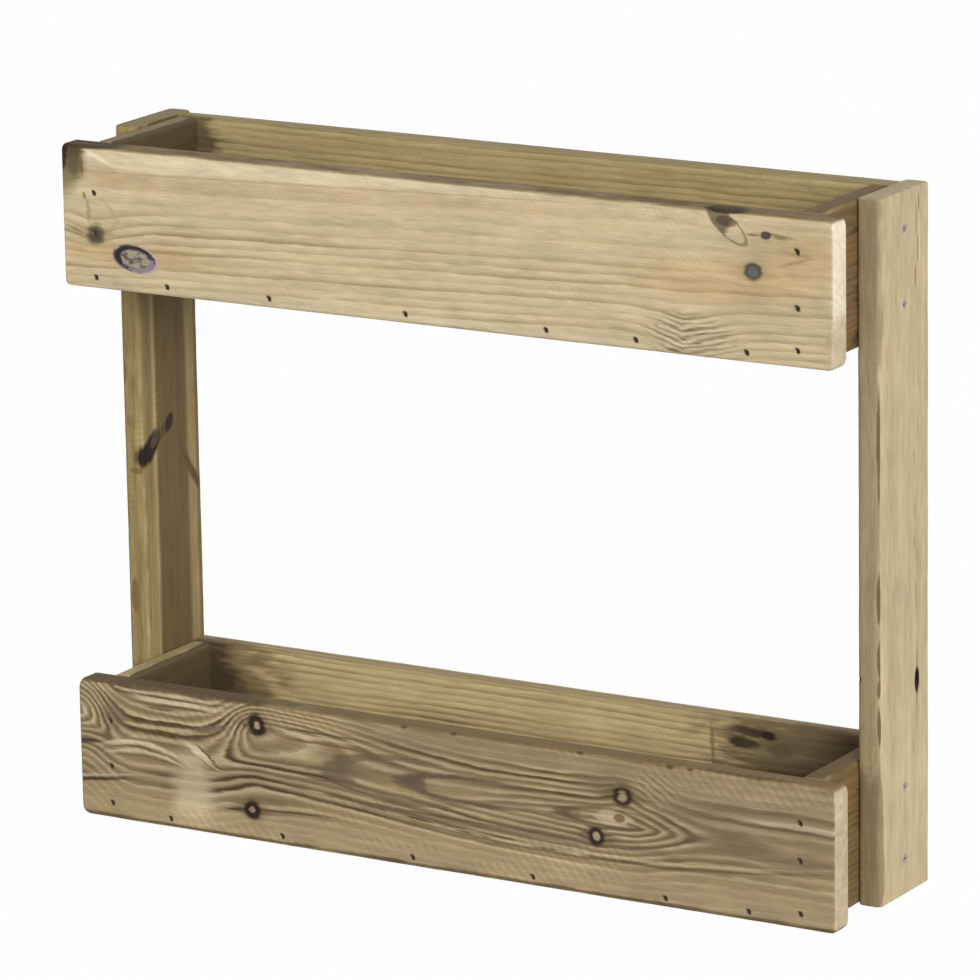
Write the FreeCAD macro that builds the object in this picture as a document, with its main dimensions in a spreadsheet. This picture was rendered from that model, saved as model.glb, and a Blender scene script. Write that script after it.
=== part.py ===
import FreeCAD, Part
import Sketcher
import os

# Vertical wooden planter: two nailed troughs, one above the other, screwed between two flat posts.
# Frame: +Z up, +X to the right, front towards -Y, origin on the floor under the middle of the planter.

# Driving dimensions in millimetres
SIZES = {
    # Boards and posts
    "front_length": 868,
    "board_width": 145,
    "board_thickness": 28,
    "board_edge": 5,
    "trough_depth": 200,
    "trough_drop": 2,
    "end_thickness": 25,
    "bottom_thickness": 20,
    "bottom_edge": 3,
    "post_height": 700,
    "post_width": 105,
    "post_thickness": 25,
    "post_edge": 5,
    # Drain holes along the middle of each bottom board
    "drain_diameter": 12,
    "drain_spacing": 190,
    # Wire nails, sunk below the face
    "nail_length": 55,
    "nail_shank": 2.8,
    "nail_head": 4.2,
    "nail_head_height": 1.2,
    "nail_sink": 1.2,
    "nail_point": 0.9,
    "nail_clearance": 0.05,
    "nail_tip_room": 0.5,
    # Heights of the front boards' end nails above the board's lower edge
    "upper_left_nail_low": 12,
    "upper_left_nail_middle": 57,
    "upper_left_nail_high": 98,
    "upper_right_nail_low": 17,
    "upper_right_nail_middle": 58,
    "upper_right_nail_high": 112,
    "lower_left_nail_low": 17,
    "lower_left_nail_middle": 56,
    "lower_left_nail_high": 104,
    "lower_right_nail_low": 16,
    "lower_right_nail_middle": 69,
    "lower_right_nail_high": 107,
    # Distances of the bottom row's nails from the inner ends of the trough
    "upper_left_row_outer": 72,
    "upper_left_row_middle": 192,
    "upper_left_row_inner": 349,
    "upper_right_row_outer": 42,
    "upper_right_row_middle": 162,
    "upper_right_row_inner": 261,
    "lower_left_row_outer": 58,
    "lower_left_row_middle": 192,
    "lower_left_row_inner": 345,
    "lower_right_row_outer": 44,
    "lower_right_row_middle": 136,
    "lower_right_row_inner": 285,
    # Wood screws through the posts, two for each trough end
    "screw_low": 36.5,
    "screw_spacing": 73.5,
    "screw_length": 45,
    "screw_shank": 4.5,
    "screw_head": 9,
    "screw_sink": 0.6,
    "screw_tip": 5,
    "screw_clearance": 0.05,
    "screw_tip_room": 0.5,
    "recess_span": 4.6,
    "recess_slot": 1.2,
    "recess_depth": 2.2,
    # Distance of the back boards' outer nails from the nearest screw
    "back_nail_offset": 18,
    # Blank oval plate let into the upper front board
    "plate_length": 54,
    "plate_height": 28,
    "plate_thickness": 0.8,
    "plate_clearance": 0.1,
    "plate_from_end": 85,
    "plate_from_edge": 35,
    "plate_tilt": 7,
}

doc = FreeCAD.newDocument("vertical_planter")
sheet = doc.addObject("Spreadsheet::Sheet", "Sizes")
for row, (alias, value) in enumerate(SIZES.items(), start=1):
    sheet.set(f"A{row}", alias)
    sheet.set(f"B{row}", str(value))
    sheet.setAlias(f"B{row}", alias)
doc.recompute()

# Expressions shared by several pieces
INNER_LENGTH = "(Sizes.front_length - 2 * Sizes.post_thickness - 2 * Sizes.end_thickness)"
BACK_LENGTH = "(Sizes.front_length - 2 * Sizes.post_thickness)"
INNER_DEPTH = "(Sizes.trough_depth - 2 * Sizes.board_thickness)"
NAIL_COLUMN = "(Sizes.front_length / 2 - Sizes.post_thickness - Sizes.end_thickness / 2)"
POST_CENTRE_TO_FRONT = "(Sizes.trough_depth - Sizes.post_width / 2 - Sizes.board_thickness)"
POST_CENTRE_TO_BACK = "(Sizes.post_width / 2 - Sizes.board_thickness)"
NAIL_REACH = "(Sizes.nail_sink + Sizes.nail_length - Sizes.board_thickness + Sizes.nail_tip_room)"
SCREW_REACH = "(Sizes.screw_sink + Sizes.screw_length - Sizes.post_thickness + Sizes.screw_tip_room)"
NAIL_HOLE = "(Sizes.nail_shank + 2 * Sizes.nail_clearance)"
SCREW_HOLE = "(Sizes.screw_shank + 2 * Sizes.screw_clearance)"
UPPER_BASE = "(Sizes.post_height - Sizes.trough_drop - Sizes.board_width)"
TROUGH_BASE = {"upper": UPPER_BASE, "lower": "0"}
HALF_TURN = FreeCAD.Rotation(FreeCAD.Vector(0, 0, 1), 180)
COUNTERSINK_ANGLE = 90
DRAIN_COUNT = 4

bodies = []


def new_body(label, place, turned=False):
    """Start a body at a place given by three expressions, turned half round for right and back pieces."""
    body = doc.addObject("PartDesign::Body", label)
    body.Label = label
    body.AllowCompound = True
    if turned:
        body.Placement = FreeCAD.Placement(FreeCAD.Vector(), HALF_TURN)
    for axis, expression in zip("xyz", place):
        body.setExpression(f".Placement.Base.{axis}", expression)
    bodies.append(body)
    return body


def new_sketch(body, role, name, offset=None):
    """Attach a sketch to one of the body's own origin planes, moved along its normal by an offset."""
    sketch = body.newObject("Sketcher::SketchObject", name)
    plane = next(feature for feature in body.Origin.OriginFeatures if feature.Role == role)
    sketch.AttachmentSupport = (plane, [""])
    sketch.MapMode = "FlatFace"
    if offset:
        sketch.setExpression(".AttachmentOffset.Base.z", offset)
    return sketch


def drive(sketch, expression, kind, *geometry):
    """Add a dimension whose value follows an expression on the sheet."""
    value = float(sketch.evalExpression(expression))
    index = sketch.addConstraint(Sketcher.Constraint(kind, *geometry, value))
    sketch.setExpression(f"Constraints[{index}]", expression)


def add_outline(sketch, points):
    """Draw a closed outline through points given as pairs of expressions."""
    vectors = []
    for x, y in points:
        vectors.append(FreeCAD.Vector(float(sketch.evalExpression(x)), float(sketch.evalExpression(y)), 0))
    count = len(points)
    first = sketch.GeometryCount
    for k in range(count):
        sketch.addGeometry(Part.LineSegment(vectors[k], vectors[(k + 1) % count]))
    for k in range(count):
        sketch.addConstraint(Sketcher.Constraint("Coincident", first + k, 2, first + (k + 1) % count, 1))
    for k, (x, y) in enumerate(points):
        drive(sketch, x, "DistanceX", -1, 1, first + k, 1)
        drive(sketch, y, "DistanceY", -1, 1, first + k, 1)


def add_rectangle(sketch, width, height):
    """Draw a rectangle with one corner on the sketch origin."""
    add_outline(sketch, [("0", "0"), (width, "0"), (width, height), ("0", height)])


def add_circles(sketch, places, diameter):
    """Draw circles of one diameter at places given as pairs of expressions."""
    radius = float(sketch.evalExpression(diameter)) / 2
    for x, y in places:
        centre = FreeCAD.Vector(float(sketch.evalExpression(x)), float(sketch.evalExpression(y)), 0)
        index = sketch.addGeometry(Part.Circle(centre, FreeCAD.Vector(0, 0, 1), radius))
        drive(sketch, diameter, "Diameter", index)
        drive(sketch, x, "DistanceX", -1, 1, index, 3)
        drive(sketch, y, "DistanceY", -1, 1, index, 3)


def add_oval(sketch, length, height):
    """Draw an ellipse along the sketch's own axes, with its centre on the sketch origin."""
    major = float(sketch.evalExpression(length)) / 2
    minor = float(sketch.evalExpression(height)) / 2
    oval = Part.Ellipse(FreeCAD.Vector(major, 0, 0), FreeCAD.Vector(0, minor, 0), FreeCAD.Vector())
    index = sketch.addGeometry(oval)
    sketch.exposeInternalGeometry(index)
    major_axis, minor_axis = index + 1, index + 2
    sketch.addConstraint(Sketcher.Constraint("Horizontal", major_axis))
    sketch.addConstraint(Sketcher.Constraint("Coincident", index, 3, -1, 1))
    drive(sketch, length, "Distance", major_axis)
    drive(sketch, height, "Distance", minor_axis)


def add_pad(body, sketch, length, name, symmetric=False, reverse=False):
    """Extrude a sketch."""
    pad = body.newObject("PartDesign::Pad", name)
    pad.Profile = sketch
    pad.setExpression("Length", length)
    pad.Midplane = symmetric
    pad.Reversed = reverse
    doc.recompute()
    return pad


def add_pocket(body, sketch, name, depth=None, reverse=False):
    """Cut a sketch into the body, right through unless a depth is given, and make sure that it cuts."""
    before = body.Shape.Volume
    pocket = body.newObject("PartDesign::Pocket", name)
    pocket.Profile = sketch
    if depth:
        pocket.setExpression("Length", depth)
    else:
        pocket.Type = "ThroughAll"
    pocket.Reversed = reverse
    doc.recompute()
    if not body.Shape.Volume < before:
        raise RuntimeError(f"{body.Label}: {name} cuts nothing")
    return pocket


def round_long_edges(body, base, direction, radius):
    """Round the four edges that run along a piece."""
    names = []
    for number, edge in enumerate(base.Shape.Edges, start=1):
        tangent = edge.tangentAt(edge.FirstParameter)
        if round(abs(tangent.dot(direction)), 3) == 1:
            names.append(f"Edge{number}")
    fillet = body.newObject("PartDesign::Fillet", "rounded_edges")
    fillet.Base = (base, names)
    fillet.setExpression("Radius", radius)
    doc.recompute()


def end_heights(trough, side):
    """Heights of the nails in one end of a front board."""
    return [f"Sizes.{trough}_{side}_nail_{level}" for level in ("low", "middle", "high")]


def back_heights():
    """Heights of the nails in either end of a back board, clear of the screws."""
    low = "(Sizes.screw_low - Sizes.back_nail_offset)"
    middle = "(Sizes.screw_low + Sizes.screw_spacing / 2)"
    high = "(Sizes.screw_low + Sizes.screw_spacing + Sizes.back_nail_offset)"
    return [low, middle, high]


def end_nail_places(left_heights, right_heights):
    """Places of both end columns on a face board."""
    left = [(f"-{NAIL_COLUMN}", height) for height in left_heights]
    right = [(NAIL_COLUMN, height) for height in right_heights]
    return left + right


def row_nail_places(trough):
    """Places of the bottom row on a face board, level with the middle of the bottom board."""
    places = []
    for step in ("outer", "middle", "inner"):
        places.append((f"-{INNER_LENGTH} / 2 + Sizes.{trough}_left_row_{step}", "Sizes.bottom_thickness / 2"))
        places.append((f"{INNER_LENGTH} / 2 - Sizes.{trough}_right_row_{step}", "Sizes.bottom_thickness / 2"))
    return places


def face_board_place(trough, face):
    """Place of a front or back board, whose outer face lies on its own XZ plane."""
    side = "-" if face == "front" else ""
    return ("0", f"{side}Sizes.trough_depth / 2", TROUGH_BASE[trough])


def face_nail_places(trough, face):
    """End and bottom row nail places of a front or back board."""
    if face == "front":
        ends = end_nail_places(end_heights(trough, "left"), end_heights(trough, "right"))
    else:
        ends = end_nail_places(back_heights(), back_heights())
    return ends, row_nail_places(trough)


def make_face_board(trough, face):
    """Front or back board with its nail holes."""
    body = new_body(f"{trough}_{face}_board", face_board_place(trough, face), turned=face == "back")
    section = new_sketch(body, "YZ_Plane", "section")
    add_rectangle(section, "Sizes.board_thickness", "Sizes.board_width")
    length = "Sizes.front_length" if face == "front" else BACK_LENGTH
    plank = add_pad(body, section, length, "plank", symmetric=True)
    round_long_edges(body, plank, FreeCAD.Vector(1, 0, 0), "Sizes.board_edge")
    ends, bottom_row = face_nail_places(trough, face)
    shanks = new_sketch(body, "XZ_Plane", "nail_hole_places")
    add_circles(shanks, ends + bottom_row, NAIL_HOLE)
    add_pocket(body, shanks, "nail_holes")
    heads = new_sketch(body, "XZ_Plane", "nail_head_places")
    add_circles(heads, ends + bottom_row, "Sizes.nail_head + 2 * Sizes.nail_clearance")
    add_pocket(body, heads, "nail_head_holes", "Sizes.nail_sink + Sizes.nail_head_height")
    return body


def make_end_board(trough, side):
    """End board between the front and back boards, with pilot holes for nails and screws."""
    left = side == "left"
    sign = "-" if left else ""
    place = (f"{sign}{BACK_LENGTH} / 2", f"{sign}{INNER_DEPTH} / 2", TROUGH_BASE[trough])
    body = new_body(f"{trough}_{side}_end_board", place, turned=not left)
    section = new_sketch(body, "XZ_Plane", "section")
    add_rectangle(section, "Sizes.end_thickness", "Sizes.board_width")
    plank = add_pad(body, section, INNER_DEPTH, "plank", reverse=True)
    round_long_edges(body, plank, FreeCAD.Vector(0, 1, 0), "Sizes.board_edge")
    front = end_heights(trough, side)
    near, far = (front, back_heights()) if left else (back_heights(), front)
    near_sketch = new_sketch(body, "XZ_Plane", "near_nail_places")
    add_circles(near_sketch, [("Sizes.end_thickness / 2", height) for height in near], NAIL_HOLE)
    add_pocket(body, near_sketch, "near_nail_holes", NAIL_REACH)
    far_sketch = new_sketch(body, "XZ_Plane", "far_nail_places", offset=f"-{INNER_DEPTH}")
    add_circles(far_sketch, [("Sizes.end_thickness / 2", height) for height in far], NAIL_HOLE)
    add_pocket(body, far_sketch, "far_nail_holes", NAIL_REACH, reverse=True)
    post_centre = POST_CENTRE_TO_FRONT if left else POST_CENTRE_TO_BACK
    screw_sketch = new_sketch(body, "YZ_Plane", "screw_places")
    screw_heights = ["Sizes.screw_low", "Sizes.screw_low + Sizes.screw_spacing"]
    add_circles(screw_sketch, [(post_centre, height) for height in screw_heights], SCREW_HOLE)
    add_pocket(body, screw_sketch, "screw_holes", SCREW_REACH, reverse=True)
    return body


def make_bottom_board(trough):
    """Bottom board inside the trough, nailed through its long edges and drilled to drain."""
    place = ("0", f"-{INNER_DEPTH} / 2", TROUGH_BASE[trough])
    body = new_body(f"{trough}_bottom_board", place)
    section = new_sketch(body, "YZ_Plane", "section")
    add_rectangle(section, INNER_DEPTH, "Sizes.bottom_thickness")
    plank = add_pad(body, section, INNER_LENGTH, "plank", symmetric=True)
    round_long_edges(body, plank, FreeCAD.Vector(1, 0, 0), "Sizes.bottom_edge")
    front_places = row_nail_places(trough)
    back_places = [(f"-({x})", z) for x, z in front_places]
    front_sketch = new_sketch(body, "XZ_Plane", "front_nail_places")
    add_circles(front_sketch, front_places, NAIL_HOLE)
    add_pocket(body, front_sketch, "front_nail_holes", NAIL_REACH)
    back_sketch = new_sketch(body, "XZ_Plane", "back_nail_places", offset=f"-{INNER_DEPTH}")
    add_circles(back_sketch, back_places, NAIL_HOLE)
    add_pocket(body, back_sketch, "back_nail_holes", NAIL_REACH, reverse=True)
    drains = new_sketch(body, "XY_Plane", "drain_places")
    drain_places = []
    for k in range(DRAIN_COUNT):
        drain_places.append((f"{k - (DRAIN_COUNT - 1) / 2} * Sizes.drain_spacing", f"{INNER_DEPTH} / 2"))
    add_circles(drains, drain_places, "Sizes.drain_diameter")
    add_pocket(body, drains, "drain_holes", reverse=True)
    return body


def post_outer_face(side):
    """Distance of a post's outer face from the middle of the planter."""
    sign = "-" if side == "left" else ""
    return f"{sign}Sizes.front_length / 2"


def make_post(side):
    """Flat post with countersunk holes for the screws of both troughs."""
    left = side == "left"
    corner = "Sizes.trough_depth / 2 - Sizes.post_width" if left else "Sizes.trough_depth / 2"
    body = new_body(f"{side}_post", (post_outer_face(side), corner, "0"), turned=not left)
    section = new_sketch(body, "XY_Plane", "section")
    add_rectangle(section, "Sizes.post_thickness", "Sizes.post_width")
    plank = add_pad(body, section, "Sizes.post_height", "plank")
    round_long_edges(body, plank, FreeCAD.Vector(0, 0, 1), "Sizes.post_edge")
    places = []
    for base in TROUGH_BASE.values():
        places.append(("Sizes.post_width / 2", f"{base} + Sizes.screw_low"))
        places.append(("Sizes.post_width / 2", f"{base} + Sizes.screw_low + Sizes.screw_spacing"))
    sketch = new_sketch(body, "YZ_Plane", "screw_places")
    add_circles(sketch, places, SCREW_HOLE)
    doc.recompute()
    before = body.Shape.Volume
    hole = body.newObject("PartDesign::Hole", "screw_holes")
    hole.Profile = sketch
    hole.DepthType = "ThroughAll"
    hole.Threaded = False
    hole.HoleCutType = "Countersink"
    hole.HoleCutCustomValues = True
    hole.HoleCutCountersinkAngle = COUNTERSINK_ANGLE
    hole.setExpression("Diameter", SCREW_HOLE)
    cut = "Sizes.screw_head + 2 * Sizes.screw_sink + 2 * Sizes.screw_clearance"
    hole.setExpression("HoleCutDiameter", cut)
    hole.Reversed = True
    doc.recompute()
    if not body.Shape.Volume < before:
        raise RuntimeError(f"{body.Label}: the screw holes cut nothing")
    return body


def make_nails(trough, face, group, places):
    """Group of wire nails in the frame of the board that they are driven through."""
    body = new_body(f"{trough}_{face}_{group}_nails", face_board_place(trough, face), turned=face == "back")
    heads = new_sketch(body, "XZ_Plane", "head_places", offset="-Sizes.nail_sink")
    add_circles(heads, places, "Sizes.nail_head")
    add_pad(body, heads, "Sizes.nail_head_height", "heads", reverse=True)
    shanks = new_sketch(body, "XZ_Plane", "shank_places", offset="-Sizes.nail_sink")
    add_circles(shanks, places, "Sizes.nail_shank")
    pad = add_pad(body, shanks, "Sizes.nail_length", "shanks", reverse=True)
    tip = max(vertex.Y for vertex in pad.Shape.Vertexes)
    rims = []
    for number, edge in enumerate(pad.Shape.Edges, start=1):
        if min(vertex.Y for vertex in edge.Vertexes) > tip - SIZES["nail_point"] / 2:
            rims.append(f"Edge{number}")
    points = body.newObject("PartDesign::Chamfer", "points")
    points.Base = (pad, rims)
    points.setExpression("Size", "Sizes.nail_point")
    doc.recompute()
    return body


def make_screws(trough, side):
    """Two countersunk wood screws through one post into one trough end."""
    post_middle = "Sizes.trough_depth / 2 - Sizes.post_width / 2"
    place = (post_outer_face(side), post_middle, f"{TROUGH_BASE[trough]} + Sizes.screw_low")
    body = new_body(f"{trough}_{side}_post_screws", place, turned=side == "right")
    profile = new_sketch(body, "XZ_Plane", "profile")
    head_end = "Sizes.screw_sink + Sizes.screw_head / 2 - Sizes.screw_shank / 2"
    tip_start = "Sizes.screw_sink + Sizes.screw_length - Sizes.screw_tip"
    outline = [
        ("Sizes.screw_sink", "0"),
        ("Sizes.screw_sink", "Sizes.screw_head / 2"),
        (head_end, "Sizes.screw_shank / 2"),
        (tip_start, "Sizes.screw_shank / 2"),
        ("Sizes.screw_sink + Sizes.screw_length", "0"),
    ]
    add_outline(profile, outline)
    turned = body.newObject("PartDesign::Revolution", "screw")
    turned.Profile = profile
    turned.ReferenceAxis = (profile, ["H_Axis"])
    doc.recompute()
    recess = new_sketch(body, "YZ_Plane", "recess_outline", offset="Sizes.screw_sink")
    arm, slot = "Sizes.recess_span / 2", "Sizes.recess_slot / 2"
    quarter = [(arm, slot), (slot, slot), (slot, arm)]
    cross = list(quarter)
    cross += [(f"-{px}", py) for px, py in reversed(quarter)]
    cross += [(f"-{px}", f"-{py}") for px, py in quarter]
    cross += [(px, f"-{py}") for px, py in reversed(quarter)]
    add_outline(recess, cross)
    pocket = add_pocket(body, recess, "recess", "Sizes.recess_depth", reverse=True)
    pattern = body.newObject("PartDesign::LinearPattern", "pair")
    pattern.Originals = [turned, pocket]
    pattern.Direction = (profile, ["V_Axis"])
    pattern.setExpression("Length", "Sizes.screw_spacing")
    pattern.Occurrences = 2
    body.Tip = pattern
    doc.recompute()
    return body


def plate_sketch(body, name):
    """Sketch on the outer face of the upper front board, at the plate's centre and tilted with it."""
    sketch = new_sketch(body, "XZ_Plane", name)
    sketch.setExpression(".AttachmentOffset.Base.x", "-Sizes.front_length / 2 + Sizes.plate_from_end")
    sketch.setExpression(".AttachmentOffset.Base.y", "Sizes.plate_from_edge")
    sketch.setExpression(".AttachmentOffset.Rotation.Angle", "-Sizes.plate_tilt")
    return sketch


def cut_plate_seat(board):
    """Shallow seat for the oval plate."""
    seat = plate_sketch(board, "plate_seat_outline")
    room = "2 * Sizes.plate_clearance"
    add_oval(seat, f"Sizes.plate_length + {room}", f"Sizes.plate_height + {room}")
    add_pocket(board, seat, "plate_seat", "Sizes.plate_thickness")


def make_plate():
    """Blank oval plate, flush with the board."""
    body = new_body("oval_plate", face_board_place("upper", "front"))
    outline = plate_sketch(body, "outline")
    add_oval(outline, "Sizes.plate_length", "Sizes.plate_height")
    add_pad(body, outline, "Sizes.plate_thickness", "plate", reverse=True)
    return body


# Build every piece
for post_side in ("left", "right"):
    make_post(post_side)
for trough_name in ("upper", "lower"):
    for board_face in ("front", "back"):
        face_board = make_face_board(trough_name, board_face)
        if (trough_name, board_face) == ("upper", "front"):
            cut_plate_seat(face_board)
        end_places, row_places = face_nail_places(trough_name, board_face)
        make_nails(trough_name, board_face, "end", end_places)
        make_nails(trough_name, board_face, "bottom", row_places)
    make_bottom_board(trough_name)
    for end_side in ("left", "right"):
        make_end_board(trough_name, end_side)
        make_screws(trough_name, end_side)
make_plate()
doc.recompute()

# Check every object before anything is written
for item in doc.Objects:
    if "Invalid" in item.State or "Error" in item.State:
        raise RuntimeError(f"{item.Name} failed: {item.State}")
for body in bodies:
    if body.Shape.isNull() or not body.Shape.isValid():
        raise RuntimeError(f"{body.Label} has no valid shape")

os.makedirs("parts", exist_ok=True)
for body in bodies:
    body.Shape.exportStep(f"parts/{body.Label}.step")
    print(body.Label, len(body.Shape.Solids), "solids", round(body.Shape.Volume, 1), "mm3")
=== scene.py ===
import math

import bmesh
import bpy
import numpy as np
from mathutils import Matrix, Vector, noise


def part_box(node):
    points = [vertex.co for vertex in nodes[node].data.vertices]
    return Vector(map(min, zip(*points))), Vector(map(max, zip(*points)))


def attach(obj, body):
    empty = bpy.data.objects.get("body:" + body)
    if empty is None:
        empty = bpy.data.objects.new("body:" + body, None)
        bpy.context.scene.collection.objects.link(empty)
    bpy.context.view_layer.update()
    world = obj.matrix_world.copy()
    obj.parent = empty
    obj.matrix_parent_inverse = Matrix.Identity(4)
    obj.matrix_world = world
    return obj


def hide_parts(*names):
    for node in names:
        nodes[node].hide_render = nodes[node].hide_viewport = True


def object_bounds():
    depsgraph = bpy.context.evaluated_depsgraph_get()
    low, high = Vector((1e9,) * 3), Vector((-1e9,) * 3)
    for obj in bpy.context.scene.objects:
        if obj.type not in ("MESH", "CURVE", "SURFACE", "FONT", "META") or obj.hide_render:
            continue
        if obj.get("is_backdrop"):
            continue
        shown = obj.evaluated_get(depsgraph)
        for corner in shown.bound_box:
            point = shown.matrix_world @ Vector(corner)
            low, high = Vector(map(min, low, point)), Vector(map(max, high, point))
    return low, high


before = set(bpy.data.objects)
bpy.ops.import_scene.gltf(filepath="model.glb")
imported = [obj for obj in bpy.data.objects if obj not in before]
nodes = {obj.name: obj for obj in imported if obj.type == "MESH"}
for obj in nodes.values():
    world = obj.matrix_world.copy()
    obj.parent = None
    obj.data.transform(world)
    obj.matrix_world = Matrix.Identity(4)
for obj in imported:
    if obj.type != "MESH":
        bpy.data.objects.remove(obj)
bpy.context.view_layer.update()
scene = bpy.context.scene
MM = 0.001

# Directions of each kind of plank: along the grain, then across its width
FACE_AXES = (Vector((1, 0, 0)), Vector((0, 0, 1)))
END_AXES = (Vector((0, 1, 0)), Vector((0, 0, 1)))
POST_AXES = (Vector((0, 0, 1)), Vector((0, -1, 0)))

# Plank meshes, in millimetres
PLANK_STEP = 7.0
SIDE_STEP = 8.0
CORNER_STEPS = 5
END_STEPS = 5
END_EASE = 1.6
CAP_INSET = 0.8
EDGE_RADIUS = 5.0
EDGE_LIMIT = 0.92
SLOW_WEAR_LENGTH = 60
SLOW_WEAR = 0.16
QUICK_WEAR_LENGTH = 13
QUICK_WEAR = 0.10
CREASE_ANGLE = 35
FACE_UNEVEN = 0.18
FACE_WAVE_LENGTH = 90
FACE_WAVE_WIDTH = 45
FACE_WAVE_DEPTH = 200
HOLE_SIDES = 20
HOLE_ROOM = 0.05
HOLE_OVERLAP = 0.5
NAIL_HEAD_HEIGHT = 1.3
NAIL_FLARE = (1.1, 0.6, 0.2)
SCREW_FLARE = (1.3, 0.7)
SEAT_ROOM = 0.1
SEAT_OPENING = 2
SCOOP_FINENESS = 4
SCOOP_ROUGHNESS = 0.06
SCOOP_RIPPLES = 4
PLATE_SIDES = 72

# Plate from its foot over the rim to the middle: share of the half height, share of the thickness
PLATE_PROFILE = [
    (1.0, 0.0), (1.0, 0.7), (0.985, 0.9), (0.95, 1.0), (0.84, 1.0),
    (0.8, 0.92), (0.77, 0.7), (0.5, 0.74), (0.2, 0.77),
]

# Wood surface: bump depth in millimetres, shine, and the inner and outer reach of a nail's mark, which is
# stain and painted shade
WOOD_BUMP = 0.35
WOOD_SHINE = 0.15
NAIL_MARK = (2.3, 3.7)
NAIL_MARK_LEAN = 0.5

# Camera of the photograph, in metres and degrees
PHOTO_SIZE = 980
FOCAL_PIXELS = 6512.6
SENSOR = 36.0
CAMERA_PLACE = Vector((3.20203, -5.36915, 1.932))
CAMERA_YAW = 30.827
CAMERA_PITCH = 14.044
CAMERA_ROLL = -0.966
CAMERA_FAR = 200

# Light
SKY_LEVEL = 0.34
SUN_LEVEL = 2.35
SUN_SPREAD = 30
SUN_AIM = Vector((-0.7, 0.62, -0.34))
FLOOR_GLOW = 0.98
FLOOR_GREY = 0.9
FLOOR_REACH = 60
FLOOR_CELLS = 8


def srgb(red, green, blue):
    """Linear colour of a screen colour given in 0 to 255, as the looks below hold it."""
    linear = []
    for level in (red, green, blue):
        share = level / 255
        linear.append(share / 12.92 if share <= 0.04045 else ((share + 0.055) / 1.055) ** 2.4)
    return (*linear, 1.0)


class Value:
    """One output of a shader node, for plain arithmetic between nodes."""

    def __init__(self, graph, socket):
        self.graph = graph
        self.socket = socket

    def __add__(self, other):
        return self.graph.math("ADD", self, other)

    __radd__ = __add__

    def __sub__(self, other):
        return self.graph.math("SUBTRACT", self, other)

    def __rsub__(self, other):
        return self.graph.math("SUBTRACT", other, self)

    def __mul__(self, other):
        return self.graph.math("MULTIPLY", self, other)


class Graph:
    """The node tree of a material or world, written as expressions."""

    def __init__(self, owner):
        owner.use_nodes = True
        self.owner = owner
        self.tree = owner.node_tree
        self.tree.nodes.clear()

    def add(self, kind, **settings):
        node = self.tree.nodes.new(kind)
        for key, value in settings.items():
            setattr(node, key, value)
        return node

    def join(self, output, socket):
        self.tree.links.new(output, socket)

    def feed(self, socket, value):
        if isinstance(value, Value):
            self.join(value.socket, socket)
        else:
            socket.default_value = srgb(*value) if isinstance(value, tuple) else value

    def math(self, operation, *inputs):
        node = self.add("ShaderNodeMath", operation=operation)
        for socket, value in zip(node.inputs, inputs):
            self.feed(socket, value)
        return Value(self, node.outputs[0])

    def smooth(self, value, low, high):
        """Eased step from 0 at low to 1 at high."""
        node = self.add("ShaderNodeMapRange", interpolation_type="SMOOTHSTEP")
        self.feed(node.inputs["Value"], value)
        self.feed(node.inputs["From Min"], low)
        self.feed(node.inputs["From Max"], high)
        return Value(self, node.outputs["Result"])

    def length(self, first, second):
        """Length of two parts at right angles."""
        return self.math("SQRT", self.math("MULTIPLY_ADD", first, first, second * second))

    def place(self):
        """Object coordinates in millimetres: along, across and through the piece."""
        coordinates = self.add("ShaderNodeTexCoord")
        scaled = self.add("ShaderNodeVectorMath", operation="SCALE")
        self.join(coordinates.outputs["Object"], scaled.inputs[0])
        scaled.inputs["Scale"].default_value = 1 / MM
        parts = self.add("ShaderNodeSeparateXYZ")
        self.join(scaled.outputs[0], parts.inputs[0])
        normal = self.add("ShaderNodeSeparateXYZ")
        self.join(coordinates.outputs["Normal"], normal.inputs[0])
        self.here = Value(self, scaled.outputs[0])
        return [Value(self, s) for s in parts.outputs], [Value(self, s) for s in normal.outputs]

    def noise(self, lengths, seed, detail=2.0, roughness=0.5):
        """Noise centred on 0, whose grain has these lengths in millimetres."""
        shifted = self.add("ShaderNodeVectorMath", operation="MULTIPLY_ADD")
        self.feed(shifted.inputs[0], self.here)
        shifted.inputs[1].default_value = [1 / length for length in lengths]
        shifted.inputs[2].default_value = (seed * 3.7, seed * 1.9, seed * 5.3)
        node = self.add("ShaderNodeTexNoise")
        self.join(shifted.outputs[0], node.inputs["Vector"])
        node.inputs["Scale"].default_value = 1.0
        node.inputs["Detail"].default_value = detail
        node.inputs["Roughness"].default_value = roughness
        return Value(self, node.outputs["Fac"]) - 0.5

    def mix(self, factor, first, second):
        node = self.add("ShaderNodeMix", data_type="RGBA")
        self.feed(node.inputs[0], factor)
        self.feed(node.inputs[6], first)
        self.feed(node.inputs[7], second)
        return Value(self, node.outputs[2])

    def shade(self, colour, roughness, height, depth, specular=0.3, metallic=0.0):
        """Principled surface with bump from a height given in millimetres."""
        shader = self.add("ShaderNodeBsdfPrincipled")
        self.feed(shader.inputs["Base Color"], colour)
        self.feed(shader.inputs["Roughness"], roughness)
        shader.inputs["Specular IOR Level"].default_value = specular
        shader.inputs["Metallic"].default_value = metallic
        bump = self.add("ShaderNodeBump")
        bump.inputs["Distance"].default_value = depth * MM
        self.feed(bump.inputs["Height"], height)
        self.join(bump.outputs[0], shader.inputs["Normal"])
        output = self.add("ShaderNodeOutputMaterial")
        self.join(shader.outputs[0], output.inputs["Surface"])
        return self.owner


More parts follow.
